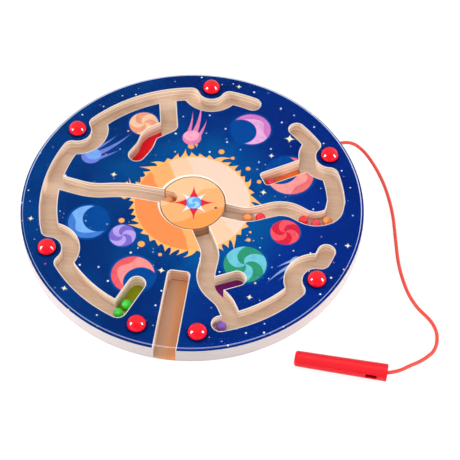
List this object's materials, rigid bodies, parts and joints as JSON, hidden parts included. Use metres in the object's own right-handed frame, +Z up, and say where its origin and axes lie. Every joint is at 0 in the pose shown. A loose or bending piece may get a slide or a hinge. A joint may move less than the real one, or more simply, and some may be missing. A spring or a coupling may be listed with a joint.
{
  "type": "magnetic maze board",
  "caption": "Round wooden ball maze under a clear cover, with a notched turntable, coloured pockets, and a corded magnet wand that slots into the rim.",
  "frame": {"origin": "centre of the board's underside", "axes": "+Z up through the board to the clear cover; -Y out of the mouth of the wand slot; +X to the right as seen from the slot's side"},
  "size_m": [0.372, 0.3, 0.0256],
  "materials": {
    "brown_board": "smooth pressed board",
    "light_wood": "sanded plywood",
    "disc_wood": "sanded plywood",
    "blue_print": "satin print",
    "disc_print": "satin print",
    "clear_sheet": "clear",
    "cap_red": "gloss",
    "steel": "plain",
    "wand_red": "satin",
    "magnet_grey": "matt",
    "cord_red": "round cord",
    "floor_red": "satin print",
    "floor_orange": "satin print",
    "floor_green": "satin print",
    "floor_purple": "satin print",
    "ball_red": "gloss",
    "ball_orange": "gloss",
    "ball_pink": "gloss",
    "ball_green": "gloss",
    "ball_purple": "gloss"
  },
  "bodies": {
    "board": {"base_plate": "brown_board", "maze_plate": "light_wood", "printed_face": "blue_print", "clear_cover": "clear_sheet", "screw_caps": "cap_red", "floor_red": "floor_red", "floor_orange": "floor_orange", "floor_green": "floor_green", "floor_purple": "floor_purple", "cord": "cord_red"},
    "turntable": {"turntable_disc": "disc_wood", "turntable_label": "disc_print", "turntable_slug": "steel"},
    "wand": {"wand_shell": "wand_red", "wand_magnet": "magnet_grey", "wand_plug": "wand_red", "wand_knot": "cord_red"},
    "ball_orange_notch": {"ball_orange_notch": "ball_orange"},
    "ball_orange_right": {"ball_orange_right": "ball_orange"},
    "ball_red_right": {"ball_red_right": "ball_red"},
    "ball_red_bend": {"ball_red_bend": "ball_red"},
    "ball_pink_bend": {"ball_pink_bend": "ball_pink"},
    "ball_orange_bend": {"ball_orange_bend": "ball_orange"},
    "ball_green_rim": {"ball_green_rim": "ball_green"},
    "ball_purple_rim": {"ball_purple_rim": "ball_purple"},
    "ball_red_pocket": {"ball_red_pocket": "ball_red"},
    "ball_green_pocket": {"ball_green_pocket": "ball_green"}
  },
  "joints": [
    {"name": "turntable_turn", "type": "hinge", "parent": "board", "child": "turntable", "pos_m": [0, 0, 0.0036], "axis": [0, 0, 1], "continuous": true},
    {"name": "ball_orange_notch_roll", "type": "slide", "parent": "turntable", "child": "ball_orange_notch", "axis": [-0.9848, 0.1736, 0], "range_m": [-0.003, 0.002]},
    {"name": "ball_orange_right_roll", "type": "slide", "parent": "board", "child": "ball_orange_right", "axis": [-0.9949, 0.101, 0], "range_m": [0, 0.015]},
    {"name": "ball_red_right_roll", "type": "slide", "parent": "board", "child": "ball_red_right", "axis": [0.8984, 0.4392, 0], "range_m": [0, 0.017]},
    {"name": "ball_red_bend_roll", "type": "slide", "parent": "board", "child": "ball_red_bend", "axis": [-0.9015, 0.4328, 0], "range_m": [0, 0.011]},
    {"name": "ball_pink_bend_roll", "type": "slide", "parent": "board", "child": "ball_pink_bend", "axis": [0.9404, 0.3401, 0], "range_m": [-0.0018, 0.0012]},
    {"name": "ball_orange_bend_roll", "type": "slide", "parent": "board", "child": "ball_orange_bend", "axis": [0.33, 0.944, 0], "range_m": [0, 0.012]},
    {"name": "ball_green_rim_roll", "type": "slide", "parent": "board", "child": "ball_green_rim", "axis": [-0.9349, 0.355, 0], "range_m": [0, 0.018]},
    {"name": "ball_purple_rim_roll", "type": "slide", "parent": "board", "child": "ball_purple_rim", "axis": [0.9404, 0.3401, 0], "range_m": [0, 0.014]},
    {"name": "ball_red_pocket_roll", "type": "slide", "parent": "board", "child": "ball_red_pocket", "axis": [0.8522, 0.5231, 0], "range_m": [0, 0.018]},
    {"name": "ball_green_pocket_roll", "type": "slide", "parent": "board", "child": "ball_green_pocket", "axis": [0.3671, 0.9302, 0], "range_m": [0, 0.014]},
    {"name": "wand_lift", "type": "slide", "parent": "board", "child": "wand", "axis": [-0.0105, 0.0004, 0.9999], "range_m": [0, 0.1]}
  ]
}
